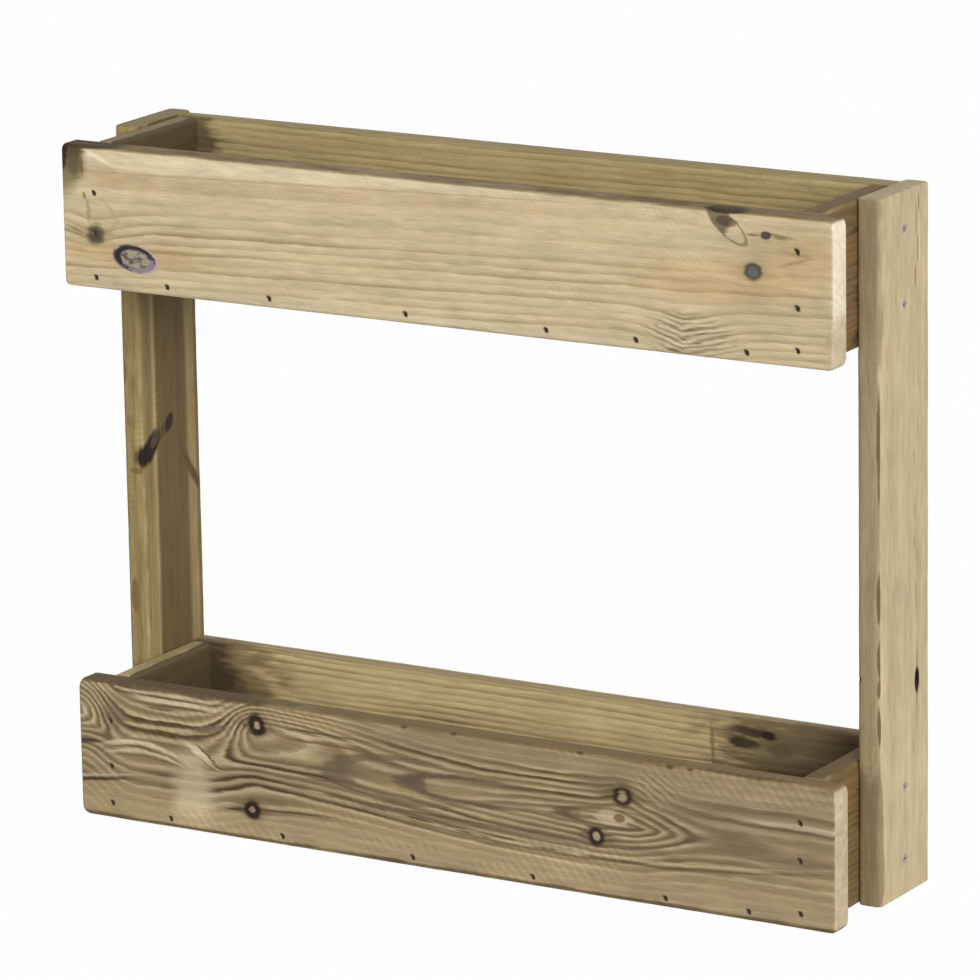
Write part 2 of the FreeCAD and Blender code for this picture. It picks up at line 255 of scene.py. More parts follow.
class Wood(Graph):
    """Softwood with growth rings bent round its knots, stains, nail marks, pale ends, worn edges and
    painted shade.
    """

    def __init__(self, name, look):
        super().__init__(bpy.data.materials.new(name))
        self.look = look
        (self.along, self.across, self.through), (self.end_on, self.edge_on, _) = self.place()
        seed = look["seed"]
        self.long_wave = self.noise((260, 60, 60), seed)
        self.short_wave = self.noise((70, 16, 16), seed + 1)
        self.fine_wave = self.noise((24, 5, 5), seed + 6)
        self.streak = self.noise((170, 9, 9), seed + 3, 3.0)
        self.thread = self.noise((110, 2.0, 2.0), seed + 7, 3.0, 0.6)
        self.cloud = self.noise((190, 42, 42), seed + 8)
        self.fibre = self.noise((26, 0.9, 0.9), seed + 4, 3.0, 0.6)
        self.mottle = self.noise((45, 18, 18), seed + 5, 3.0)

    def lay(self, share, tint):
        """Lays a tint over the colour so far."""
        self.colour = self.mix(share, self.colour, tint)

    def bump(self, ahead, left, right):
        """Exponent of a soft hill along the grain, with its own reach to each side."""
        if left == right:
            run = ahead * (1 / right)
        else:
            run = self.math("MAXIMUM", ahead * (1 / right), ahead * (-1 / left))
        return run * run

    def swell(self, along, across, l, w, left, right, half, slope=0.0, bend=0.0, keen=False):
        """Soft hill or keen ridge of height 1 at (l, w), along a line that may slope or bend."""
        ahead = along - l
        line = across - w
        if slope:
            line = line - ahead * slope
        if bend:
            line = line - ahead * ahead * bend
        rise = line * (1 / half)
        fall = self.math("ABSOLUTE", rise) if keen else rise * rise
        return self.math("POWER", math.exp(-1), self.bump(ahead, left, right) + fall)

    def far_from(self, l, w, t, long_radius, wide_radius, deep_radius, lean=0.0):
        """Distance from a place in the plank, 1 on an ellipsoid that may lean across the grain."""
        side = self.across - w
        run = (self.along - l + side * lean) * (1 / long_radius)
        side = side * (1 / wide_radius)
        deep = (self.through - t) * (1 / deep_radius)
        square = self.math("MULTIPLY_ADD", run, run, self.math("MULTIPLY_ADD", side, side, deep * deep))
        return self.math("SQRT", square)

    def rings(self):
        """Share of late wood, and share of the pale wood that starts each ring."""
        look = self.look
        middle, depth, tilt = look["pith"]
        aside = self.across - middle - self.along * tilt
        for l, left, right, lift in look.get("bends", []):
            aside = aside - self.math("POWER", math.exp(-1), self.bump(self.along - l, left, right)) * lift
        deep = self.through - depth
        reach = self.length(aside, deep)
        long_share, short_share, fine_share = look["waves"]
        reach = reach + self.long_wave * long_share + self.short_wave * short_share
        reach = reach + self.fine_wave * fine_share
        for l, w, left, right, half, rise, *keen in look.get("swells", []):
            hill = self.swell(self.along, self.across, l, w, left, right, half, keen=bool(keen))
            reach = reach + hill * rise
        count = reach * (1 / look["ring"]) + look.get("phase", 0.0)
        turn = self.math("FRACT", count)
        late = self.smooth(turn, look["late_start"], look["late_peak"])
        late = late * (1 - self.smooth(turn, look["late_end"], 1.0))
        which = self.add("ShaderNodeTexWhiteNoise", noise_dimensions="1D")
        self.feed(which.inputs["W"], self.math("FLOOR", count))
        strength = Value(self, which.outputs["Value"])
        fade = self.noise((150, 30, 30), look["seed"] + 2) * look["fading"] + look["contrast"]
        late = late * (strength * 0.7 + 0.45) * fade
        for calm, clear, share in look.get("calm", []):
            lively = self.smooth(self.across + self.long_wave * 20, calm, clear)
            late = late * (lively * (1 - share) + share)
        for *place, share in look.get("hush", []):
            late = late * (1 - self.swell(self.along, self.across, *place) * share)
        late = self.math("MINIMUM", self.math("MAXIMUM", late, 0.0), 1.0)
        pale = (1 - self.smooth(turn, 0.12, 0.42)) * (1 - strength * 0.6) * self.smooth(fade, 0.2, 1.3)
        return late, pale

    def stained(self):
        """Bands and patches of another tint, with ragged edges."""
        along = self.along + self.mottle * 16 + self.fine_wave * 5
        across = self.across + self.mottle * 4 + self.fine_wave * 2.5
        for l, w, left, right, half, tint, share, *curve in self.look.get("stains", []):
            spot = self.swell(along, across, l, w, left, right, half, *curve)
            self.lay(self.smooth(spot, 0.1, 0.8) * share, tint)
        if "heart" in self.look:
            middle, half, tint, share = self.look["heart"]
            off = self.math("ABSOLUTE", self.across - middle + self.long_wave * 10 + self.streak * 8)
            self.lay((1 - self.smooth(off, half * 0.8, half * 1.1)) * share, tint)

    def rippled(self):
        """Short fine lines where the grain is disturbed, rising to each side by their own slope."""
        for *place, left_fan, right_fan, step, dark, pale, share in self.look.get("ripples", []):
            ahead = self.along - place[0]
            lift = self.math("MAXIMUM", ahead * right_fan, ahead * -left_fan)
            line = self.across - lift + self.short_wave * 9 + self.fine_wave * 5
            wave = self.math("SINE", line * (2 * math.pi / step))
            hill = self.swell(self.along, self.across, *place)
            where = self.smooth(hill + self.fine_wave * 0.4, 0.2, 0.7) * share
            self.lay(self.smooth(wave, 0.0, 0.9) * where, dark)
            self.lay(self.smooth(wave * -1, 0.0, 0.9) * where, pale)

    def looped(self):
        """Leaning ovals with an outline that may open to the right, filled from the left."""
        for l, w, angle, half_length, half_width, fill, line in self.look.get("loops", []):
            ahead = self.along - l
            side = self.across - w
            cosine, sine = math.cos(math.radians(angle)), math.sin(math.radians(angle))
            run = ahead * cosine + side * sine
            rise = (side * cosine - ahead * sine) * (1 / half_width)
            part = run * (1 / half_length)
            far = self.length(part, rise)
            far = far + self.fine_wave * 0.25 + self.mottle * 0.2
            fill_tint, fill_share, fill_to = fill
            inner = 1 - self.smooth(far, 0.86, 1.0)
            filled = inner * (1 - self.smooth(run + self.mottle * 8, fill_to, fill_to + 6))
            self.lay(filled * fill_share, fill_tint)
            line_tint, line_share, breadth, opening = line
            edge = self.smooth(far, 1 - breadth, 1 - breadth * 0.5)
            edge = edge * (1 - self.smooth(far, 1, 1 + breadth * 0.5))
            edge = edge * (1 - self.smooth(part, 0.0, 0.9) * opening)
            self.lay(edge * line_share, line_tint)

    def knotted(self):
        """Knots: a dark ring round a paler core, with wings along the grain."""
        ragged = self.short_wave * 0.5 + self.mottle * 0.6 + self.fine_wave * 0.6
        for l, w, radius, stretch, core_share, core, rim, share in self.look.get("knots", []):
            run = (self.along - l) * (1 / (radius * stretch))
            side = (self.across - w) * (1 / radius)
            far = self.length(run, side) + ragged
            wings = self.math("ABSOLUTE", run) * 0.5 + self.math("ABSOLUTE", side) + ragged
            self.lay((1 - self.smooth(wings, 0.6, 1.7)) * 0.6 * share, self.look["late"])
            self.lay((1 - self.smooth(far, 0.66, 1.16)) * share, rim)
            centre = 1 - self.smooth(far, core_share * 0.6, core_share * 1.3)
            self.lay(centre * share, core)

    def spotted(self):
        """Dark or pale places that reach into the wood, such as knots, chips on an edge, and painted shade
        on shaded faces and in corners.
        """
        ragged = (self.mottle + self.fine_wave) * self.look["rough"]
        for *place, tint, share in self.look.get("spots", []):
            far = self.far_from(*place) + ragged
            self.lay((1 - self.smooth(far, self.look["soft"], 1.1)) * share, tint)

    def nailed(self):
        """Brown mark round each sunk nail, partly stain and partly painted shade over the walls of its
        hollow, drawn out down to the right.
        """
        lean = NAIL_MARK_LEAN
        slanted = self.add("ShaderNodeCombineXYZ")
        self.feed(slanted.inputs[0], self.along)
        self.feed(slanted.inputs[1], self.across + self.along * lean)
        nearest = None
        for l, w in self.look.get("nails", []):
            span = self.add("ShaderNodeVectorMath", operation="DISTANCE")
            self.join(slanted.outputs[0], span.inputs[0])
            span.inputs[1].default_value = (l, w + l * lean, 0)
            away = Value(self, span.outputs["Value"])
            nearest = away if nearest is None else self.math("MINIMUM", nearest, away)
        if nearest is None:
            return
        mark = 1 - self.smooth(nearest + self.fine_wave * 1.5 + self.mottle * 1.5, *NAIL_MARK)
        mark = mark * self.smooth(self.through * self.look["nail_side"], 0, 6) * self.look["nail_share"]
        self.lay(mark, self.look["nail_stain_and_shade"])

    def edged(self, late):
        """Pale end grain, grime and painted shade on the upper edges, painted shade on the lower edges,
        bark in hollows, and worn arrises.
        """
        look = self.look
        self.end = self.smooth(self.math("ABSOLUTE", self.end_on), 0.55, 0.85)
        end_colour = self.mix(late * 0.4 + self.mottle * 0.2, look["end"], look["end_late"])
        self.lay(self.end, end_colour)
        # upper edges (the front face on a post) are darkened for grime and painted shade, lower edges for
        # painted shade
        upper = self.smooth(self.edge_on, 0.3, 0.8) * look.get("top_share", 0.0)
        lower = self.smooth(self.edge_on * -1, 0.12, 0.5) * look.get("base_shade_share", 0.0)
        grime_and_shade = self.smooth(self.mottle, -0.3, 0.25) * 0.4 + 0.6
        self.lay((upper + lower) * grime_and_shade, look["grime_and_shade"])
        for l, w, t, long_radius, wide_radius, deep_radius, base, crown in look.get("scoops", []):
            far = self.far_from(l, w, t, long_radius, wide_radius, deep_radius)
            low, high = w - wide_radius * 0.7, w + wide_radius * 0.2
            height = self.smooth(self.across + self.mottle * 20, low, high)
            hollow = 1 - self.smooth(far + self.mottle * 0.25 + self.fine_wave * 0.12, 0.92, 1.22)
            self.lay(hollow, self.mix(height, base, crown))
        _, width, thickness = look["size"]
        past_width = self.math("ABSOLUTE", self.across) - (width / 2 - EDGE_RADIUS)
        past_face = self.math("ABSOLUTE", self.through) - (thickness / 2 - EDGE_RADIUS)
        arris = self.smooth(self.math("MINIMUM", past_width, past_face), 0.6, 3.2)
        worn = arris * self.smooth(self.mottle + self.fibre * 0.4, -0.05, 0.3)
        self.lay(worn * look["wear"], look["worn"])

    def toned(self):
        """Lighter and darker fibres, patches and the slanting marks of the planer."""
        slant = (self.along + self.across * self.look["slant"]) * (2 * math.pi / self.look["mark_step"])
        marks = self.math("SINE", slant + self.short_wave * 6) * self.smooth(self.cloud, 0.0, 0.16)
        tone = self.fibre * (0.7 - self.end * 0.5) + self.streak * 0.45
        tone = tone + self.mottle * 0.4 + self.fine_wave * 0.3
        tone = tone + self.cloud * self.look["clouds"] + marks * self.look["marks"] + 1.0
        scaled = self.add("ShaderNodeVectorMath", operation="SCALE")
        self.feed(scaled.inputs[0], self.colour)
        self.feed(scaled.inputs["Scale"], tone)
        self.colour = Value(self, scaled.outputs[0])

    def paint(self):
        """The finished material."""
        look = self.look
        late, pale = self.rings()
        self.colour = self.mix(late, look["early"], look["late"])
        self.lay(pale * look["pale_share"], look["pale"])
        self.lay(self.smooth(self.streak, 0.02, 0.3) * 0.55, look["streak"])
        self.lay(self.smooth(self.thread, 0.08, 0.3) * look["threads"], look["late"])
        self.stained()
        self.rippled()
        self.looped()
        self.knotted()
        self.edged(late)
        self.spotted()
        self.nailed()
        self.toned()
        roughness = 0.66 + self.fibre * 0.3 - late * 0.08 + self.mottle * 0.1
        height = late * 0.25 + self.fibre * 0.8 + self.mottle * 0.3
        return self.shade(self.colour, roughness, height, WOOD_BUMP, specular=WOOD_SHINE)


def loose_solids(node):
    """Points of each loose solid in a CAD node, in millimetres."""
    mesh = bmesh.new()
    mesh.from_mesh(nodes[node].data)
    bmesh.ops.remove_doubles(mesh, verts=mesh.verts, dist=1e-6)
    seen = set()
    solids = []
    for start in mesh.verts:
        if start in seen:
            continue
        seen.add(start)
        queue = [start]
        for vertex in queue:
            for edge in vertex.link_edges:
                other = edge.other_vert(vertex)
                if other not in seen:
                    seen.add(other)
                    queue.append(other)
        solids.append(np.array([vertex.co for vertex in queue]) / MM)
    mesh.free()
    return solids


class Fastener:
    """A nail or screw read from the frame, in millimetres."""

    def __init__(self, points, countersunk):
        low, high = points.min(axis=0), points.max(axis=0)
        self.axis = int(np.argmax(high - low))
        self.others = [k for k in range(3) if k != self.axis]
        self.middle = (low + high) / 2
        outward = 1 if high[self.axis] > -low[self.axis] else -1
        self.inward = -outward
        self.head = high[self.axis] if outward > 0 else low[self.axis]
        self.tip = low[self.axis] if outward > 0 else high[self.axis]
        self.head_radius = (high - low)[self.others[0]] / 2
        deep = (points[:, self.axis] - self.head) * self.inward
        spread = np.linalg.norm((points - self.middle)[:, self.others], axis=1)
        length = abs(self.tip - self.head)
        self.shank_radius = spread[(deep > length * 0.3) & (deep < length * 0.99)].max()
        self.countersunk = countersunk


def read_fasteners():
    """Every nail and screw of the frame."""
    found = []
    for name in sorted(nodes):
        if name.endswith("_nails") or name.endswith("_screws"):
            found += [Fastener(points, name.endswith("_screws")) for points in loose_solids(name)]
    return found


def skin(mesh, rings):
    """Faces between neighbouring rings of vertices, and a cap at each end."""
    for near, far in zip(rings, rings[1:]):
        for k in range(len(near)):
            mesh.faces.new((near[k - 1], near[k], far[k], far[k - 1]))
    return [mesh.faces.new(list(reversed(rings[0]))), mesh.faces.new(rings[-1])]


def baked(mesh, name):
    """Mesh data from an edit mesh, which is freed."""
    data = bpy.data.meshes.new(name)
    mesh.to_mesh(data)
    mesh.free()
    return data


def turned_cutter(mesh, fastener, profile):
    """Adds a closed turned solid along a fastener's axis from (place on the axis, radius) pairs."""
    rings = []
    for place, radius in profile:
        ring = []
        for k in range(HOLE_SIDES):
            angle = 2 * math.pi * k / HOLE_SIDES
            point = fastener.middle.copy()
            point[fastener.axis] = place
            point[fastener.others[0]] += radius * math.cos(angle)
            point[fastener.others[1]] += radius * math.sin(angle)
            ring.append(mesh.verts.new(Vector(point) * MM))
        rings.append(ring)
    skin(mesh, rings)


def hole_profile(fastener, low, high):
    """Profile of the hole that a fastener makes in a plank with these corners, or None."""
    axis, inward = fastener.axis, fastener.inward
    room = HOLE_OVERLAP
    inside = [low[k] - room < fastener.middle[k] < high[k] + room for k in fastener.others]
    start = low[axis] if inward > 0 else high[axis]
    finish = high[axis] if inward > 0 else low[axis]
    overlap = (finish - fastener.head) * inward > 1 and (fastener.tip - start) * inward > 1
    if not all(inside) or not overlap:
        return None
    shank = fastener.shank_radius + HOLE_ROOM
    head = fastener.head_radius + HOLE_ROOM
    end = min((fastener.tip + inward * room - start) * inward, (finish - start) * inward + 1)
    sink = (fastener.head - start) * inward
    if sink < -room:
        steps = [(-1, shank), (end, shank)]
    elif fastener.countersunk:
        outer, inner = SCREW_FLARE
        steps = [(-HOLE_OVERLAP, head + outer), (0, head + inner), (sink, head)]
        steps += [(sink + head - shank, shank), (end, shank)]
    else:
        outer, inner, lip = NAIL_FLARE
        seat = sink + NAIL_HEAD_HEIGHT
        steps = [(-HOLE_OVERLAP, head + outer), (0, head + inner), (HOLE_OVERLAP, head + lip)]
        steps += [(sink, head), (seat, head), (seat, shank), (end, shank)]
    return [(start + inward * depth, radius) for depth, radius in steps]


def end_inset(distance, radius):
    """How far a rounded end draws in at a distance from it."""
    if distance >= radius:
        return 0.0
    return radius - math.sqrt(max(radius ** 2 - (radius - distance) ** 2, 0.0))


def plank_stations(length, start_round, finish_round):
    """Distances along a plank, close together where its ends are rounded."""
    arc = [1 - math.cos(angle) for angle in np.linspace(0, math.pi / 2, END_STEPS + 1)]
    first = [start_round * share for share in arc]
    last = [length - finish_round * share for share in reversed(arc)]
    count = max(2, round((last[0] - first[-1]) / PLANK_STEP))
    middle = list(np.linspace(first[-1], last[0], count + 1))[1:-1]
    return first + middle + last


def edge_radius(place, corner, shape):
    """Radius of one long edge at a place along the plank, uneven with wear."""
    seed = shape["seed"] * 7.3 + corner * 2.1
    slow = noise.noise(Vector((place / SLOW_WEAR_LENGTH, seed, 0.5)))
    quick = noise.noise(Vector((place / QUICK_WEAR_LENGTH, seed, 4.5)))
    radius = EDGE_RADIUS * (1 + SLOW_WEAR * slow + QUICK_WEAR * quick)
    for wane_corner, centre, reach, extra in shape.get("wanes", []):
        if wane_corner == corner:
            radius += extra * math.exp(-((place - centre) / reach) ** 2)
    return radius


def section_points(half_width, half_thickness, radii, width_count, thickness_count):
    """Rounded rectangle round a plank, from the face's upper corner towards its lower one."""
    arcs = []
    for corner, radius in enumerate(radii):
        side = 1 if corner in (0, 3) else -1
        face = 1 if corner in (0, 1) else -1
        centre = np.array((side * (half_width - radius), face * (half_thickness - radius)))
        turn = [math.pi / 2 * (corner + k / CORNER_STEPS) for k in range(CORNER_STEPS + 1)]
        arcs.append([centre + radius * np.array((math.cos(a), math.sin(a))) for a in turn])
    points = []
    for corner, arc in enumerate(arcs):
        points += arc
        following = arcs[(corner + 1) % 4][0]
        count = width_count if corner in (0, 2) else thickness_count
        for k in range(1, count):
            points.append(arc[-1] + (following - arc[-1]) * k / count)
    return points


def plank_mesh(name, size, shape):
    """Closed mesh of one plank about its own centre, in metres."""
    length, width, thickness = size
    start_round, finish_round = shape.get("ends", (END_EASE, END_EASE))
    width_count = max(2, round(width / SIDE_STEP))
    thickness_count = max(2, round(thickness / SIDE_STEP))
    mesh = bmesh.new()
    rings = []
    for station in plank_stations(length, start_round, finish_round):
        place = station - length / 2
        near, nearest = (station, start_round) if place < 0 else (length - station, finish_round)
        half_width = width / 2 - end_inset(near, nearest)
        half_thickness = thickness / 2 - end_inset(near, min(nearest, END_EASE))
        largest = half_thickness * EDGE_LIMIT
        radii = [min(edge_radius(place, corner, shape), largest) for corner in range(4)]
        section = section_points(half_width, half_thickness, radii, width_count, thickness_count)
        ring = []
        for across, through in section:
            drift = shape["seed"] + through / FACE_WAVE_DEPTH
            wave = noise.noise(Vector((place / FACE_WAVE_LENGTH, across / FACE_WAVE_WIDTH, drift)))
            through *= 1 - FACE_UNEVEN * (0.5 + 0.5 * wave) / half_thickness
            ring.append(mesh.verts.new(Vector((place, across, through)) * MM))
        rings.append(ring)
    caps = skin(mesh, rings)
    bmesh.ops.inset_individual(mesh, faces=caps, thickness=CAP_INSET * MM)
    bmesh.ops.recalc_face_normals(mesh, faces=mesh.faces)
    return baked(mesh, name)


def placed(centre, *axes):
    """Matrix that sets a piece with these three directions at a centre."""
    return Matrix.Translation(centre) @ Matrix(axes).transposed().to_4x4()


def link_object(name, data):
    """New object in the scene."""
    made = bpy.data.objects.new(name, data)
    scene.collection.objects.link(made)
    return made


def cut(piece, cutter):
    """Subtracts a cutter mesh, given in the frame, from a piece."""
    bmesh.ops.recalc_face_normals(cutter, faces=cutter.faces)
    data = baked(cutter, "cutter")
    tool = link_object("cutter", data)
    modifier = piece.modifiers.new("holes", "BOOLEAN")
    modifier.operation = "DIFFERENCE"
    modifier.solver = "EXACT"
    modifier.object = tool
    bpy.context.view_layer.update()
    graph = bpy.context.evaluated_depsgraph_get()
    result = bpy.data.meshes.new_from_object(piece.evaluated_get(graph))
    piece.modifiers.clear()
    old = piece.data
    piece.data = result
    bpy.data.meshes.remove(old)
    bpy.data.objects.remove(tool)
    bpy.data.meshes.remove(data)


def smooth_shading(piece):
    """Smooth faces with crisp edges where they meet at a steep angle."""
    piece.data.shade_smooth()
    piece.data.set_sharp_from_angle(angle=math.radians(CREASE_ANGLE))


class Plate:
    """The oval plate read from the frame, in millimetres."""

    def __init__(self, node):
        points = loose_solids(node)[0]
        low, high = points.min(axis=0), points.max(axis=0)
        self.centre = (low + high) / 2
        self.front = low[1]
        self.back = high[1]
        offsets = (points - self.centre)[:, (0, 2)]
        spans = np.linalg.norm(offsets, axis=1)
        tip = offsets[int(np.argmax(spans))]
        self.half_length = spans.max()
        self.half_height = spans.min()
        self.along = Vector((tip[0], 0, tip[1])).normalized() * (1 if tip[0] > 0 else -1)
        self.across = Vector((-self.along.z, 0, self.along.x))

    def outline(self, half_length, half_height, depth):
        """Points round the oval at a place on the Y axis."""
        base = Vector((self.centre[0], depth, self.centre[2]))
        points = []
        for k in range(PLATE_SIDES):
            angle = 2 * math.pi * k / PLATE_SIDES
            out = self.along * half_length * math.cos(angle) + self.across * half_height * math.sin(angle)
            points.append((base + out) * MM)
        return points


def add_seat(mesh, plate):
    """Adds a cutter for the seat of the oval plate, a little larger than the plate."""
    rings = []
    for depth in (plate.front - SEAT_OPENING, plate.back):
        points = plate.outline(plate.half_length + SEAT_ROOM, plate.half_height + SEAT_ROOM, depth)
        rings.append([mesh.verts.new(point) for point in points])
    skin(mesh, rings)


def add_scoop(mesh, piece, scoop, seed):
    """Adds a cutter for a hollow in a plank, a rough ellipsoid given in the plank's own directions."""
    centre = Vector(scoop[:3])
    radii = scoop[3:6]
    ball = bmesh.ops.create_icosphere(mesh, subdivisions=SCOOP_FINENESS, radius=1.0)
    for vertex in ball["verts"]:
        ripple = 1 + SCOOP_ROUGHNESS * noise.noise(vertex.co * SCOOP_RIPPLES + Vector((seed, 0, 0)))
        out = Vector([part * radius * ripple for part, radius in zip(vertex.co, radii)])
        vertex.co = piece.matrix_world @ ((centre + out) * MM)


def make_plate(node, plate):
    """Blank oval plate with a raised rim round a slightly crowned field."""
    mesh = bmesh.new()
    rings = []
    thickness = plate.back - plate.front
    for share, height in PLATE_PROFILE:
        depth = plate.back - thickness * height
        inset = (1 - share) * plate.half_height
        points = plate.outline(plate.half_length - inset, plate.half_height - inset, depth)
        rings.append([mesh.verts.new(point) for point in points])
    skin(mesh, rings)
    bmesh.ops.recalc_face_normals(mesh, faces=mesh.faces)
    through = plate.along.cross(plate.across)
    place = placed(Vector(plate.centre) * MM, plate.along, plate.across, through)
    mesh.transform(place.inverted())
    piece = link_object("oval_plate_face", baked(mesh, "oval_plate_face"))
    piece.matrix_world = place
    bpy.context.view_layer.update()
    smooth_shading(piece)
    piece.data.materials.append(plate_metal(plate))
    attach(piece, "root")
    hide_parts(node)


def plate_metal(plate):
    """Dull enamelled plate, dark round the rim and rubbed paler in the field, with painted shade towards
    the upper left and a painted highlight towards the lower right.
    """
    graph = Graph(bpy.data.materials.new("plate_metal"))
    (along, across, _), _ = graph.place()
    run = along * (1 / plate.half_length)
    rise = across * (1 / plate.half_height)
    far = graph.length(run, rise)
    cloud = graph.noise((9, 6, 6), 3.0, 4.0, 0.6)
    scuff = graph.noise((2.5, 1.2, 1.2), 5.0, 4.0, 0.65)
    rubbed = graph.smooth(cloud * 1.6 + scuff * 0.5, -0.12, 0.1)
    field = graph.mix(rubbed, (98, 86, 80), (166, 154, 130))
    # the ring is painted dark towards the upper left and pale towards the lower right: painted shade and
    # highlight over a random patina
    worn = graph.smooth(cloud + scuff * 0.4 + along * 0.008 - across * 0.012, -0.02, 0.14)
    ring = graph.smooth(far + cloud * 0.2, 0.6, 0.7)
    colour = graph.mix(ring, field, graph.mix(worn, (36, 28, 29), (140, 128, 130)))
    rim = graph.smooth(far + scuff * 0.08, 0.88, 0.94)
    # the rim is painted lighter towards the right: a painted highlight over a random patina
    silver_and_highlight = graph.mix(graph.smooth(cloud + along * 0.006, -0.2, 0.1), (104, 92, 92), (178, 166, 170))
    colour = graph.mix(rim, colour, silver_and_highlight)
    return graph.shade(colour, 0.42 + cloud * 0.3, cloud + scuff, 0.15, specular=0.4, metallic=0.35)


def steel(name, clean, worn, seed, roughness, metallic):
    """Metal of nails or screws, spotted with a duller tone."""
    graph = Graph(bpy.data.materials.new(name))
    graph.place()
    cloud = graph.noise((2.2, 2.2, 2.2), seed, 4.0, 0.6)
    scratch = graph.noise((0.4, 0.4, 3.0), seed + 1, 2.0)
    colour = graph.mix(graph.smooth(cloud, -0.1, 0.16), clean, worn)
    height = cloud + scratch
    return graph.shade(colour, roughness + cloud * 0.3, height, 0.05, specular=0.25, metallic=metallic)


def dress(node, material):
    """Gives a CAD node that stays in sight its material."""
    for slot in nodes[node].material_slots:
        slot.material = material


def make_plank(node, axes, shape, look, fasteners, plate=None):
    """Plank that stands for a CAD board, with every hole that the fasteners make in it."""
    low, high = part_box(node)
    centre = (low + high) / 2
    along, across = axes
    through = along.cross(across)
    size = [abs((high - low).dot(axis)) / MM for axis in (along, across, through)]
    piece = link_object(node + "_wood", plank_mesh(node, size, shape))
    piece.matrix_world = placed(centre, along, across, through)
    bpy.context.view_layer.update()
    cutter = bmesh.new()
    nails = []
    nail_side = 1
    for fastener in fasteners:
        profile = hole_profile(fastener, np.array(low) / MM, np.array(high) / MM)
        if not profile:
            continue
        turned_cutter(cutter, fastener, profile)
        head = fastener.middle.copy()
        head[fastener.axis] = fastener.head
        spot = piece.matrix_world.inverted() @ (Vector(head) * MM) / MM
        if len(profile) > 2:
            nails.append((spot.x, spot.y))
            nail_side = math.copysign(1, spot.z)
    if plate:
        add_seat(cutter, plate)
    for scoop in shape.get("scoops", []):
        add_scoop(cutter, piece, scoop, shape["seed"])
    cut(piece, cutter)
    smooth_shading(piece)
    piece.data.materials.clear()
    look = dict(look, size=size, nails=nails, nail_side=nail_side, scoops=shape.get("scoops", []))
    piece.data.materials.append(Wood(node + "_wood", look).paint())
    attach(piece, "root")
    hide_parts(node)


# Wood of each board: screen colours, then places in millimetres from the board's middle
# swells bend the rings: along, across, reach left and right, half width, rise, True for a keen ridge
# hush quietens them: the same place, share
# stains: the same place, tint, share, slope, bend
# ripples: the same place, fan left and right, step, dark, pale, share
# loops: along, across, angle, half length, half width, (fill, share, end), (line, share, breadth, gap)
# knots: along, across, radius, stretch, share of the core, core, rim, share
# spots: along, across, through, three radii, lean where it has one, tint, share
PALE_LOOK = {
    "early": (213, 194, 156), "late": (170, 147, 106), "streak": (200, 174, 134),
    "pale": (226, 210, 174), "pale_share": 0.3, "threads": 0.35,
    "end": (240, 227, 200), "end_late": (214, 195, 160), "grime_and_shade": (110, 87, 48),
    "worn": (228, 212, 178), "wear": 0.5, "ring": 7, "seed": 1, "pith": (0, -40, 0),
    "waves": (9, 3, 1.2), "contrast": 0.8, "fading": 1.4, "late_start": 0.3,
    "late_peak": 0.9, "late_end": 0.92, "clouds": 0.3, "rough": 0.7, "soft": 0.7,
    "nail_stain_and_shade": (84, 68, 45), "nail_share": 0.88, "slant": 0.9, "mark_step": 8, "marks": 0.03,
}
DARK_LOOK = dict(
    PALE_LOOK, early=(163, 143, 107), late=(84, 66, 43), streak=(130, 112, 83),
    pale=(202, 185, 150), pale_share=0.6,
    end=(200, 182, 151), end_late=(172, 153, 120), grime_and_shade=(132, 110, 70), worn=(184, 166, 132),
)
INNER_LOOK = dict(
    PALE_LOOK, early=(190, 171, 123), late=(136, 116, 73), streak=(160, 140, 94), pale_share=0,
    end=(168, 150, 114), end_late=(132, 116, 86), grime_and_shade=(108, 95, 70), worn=(190, 171, 126),
    contrast=0.55, ring=6,
)
CREAM = (226, 210, 174)
SAND = (208, 191, 157)
TAN = (186, 158, 116)
STRAW = (192, 158, 108)
BARK = (46, 36, 28)
RESIN = (92, 74, 52)
SMOKE = (118, 102, 80)
OLIVE = (90, 79, 54)

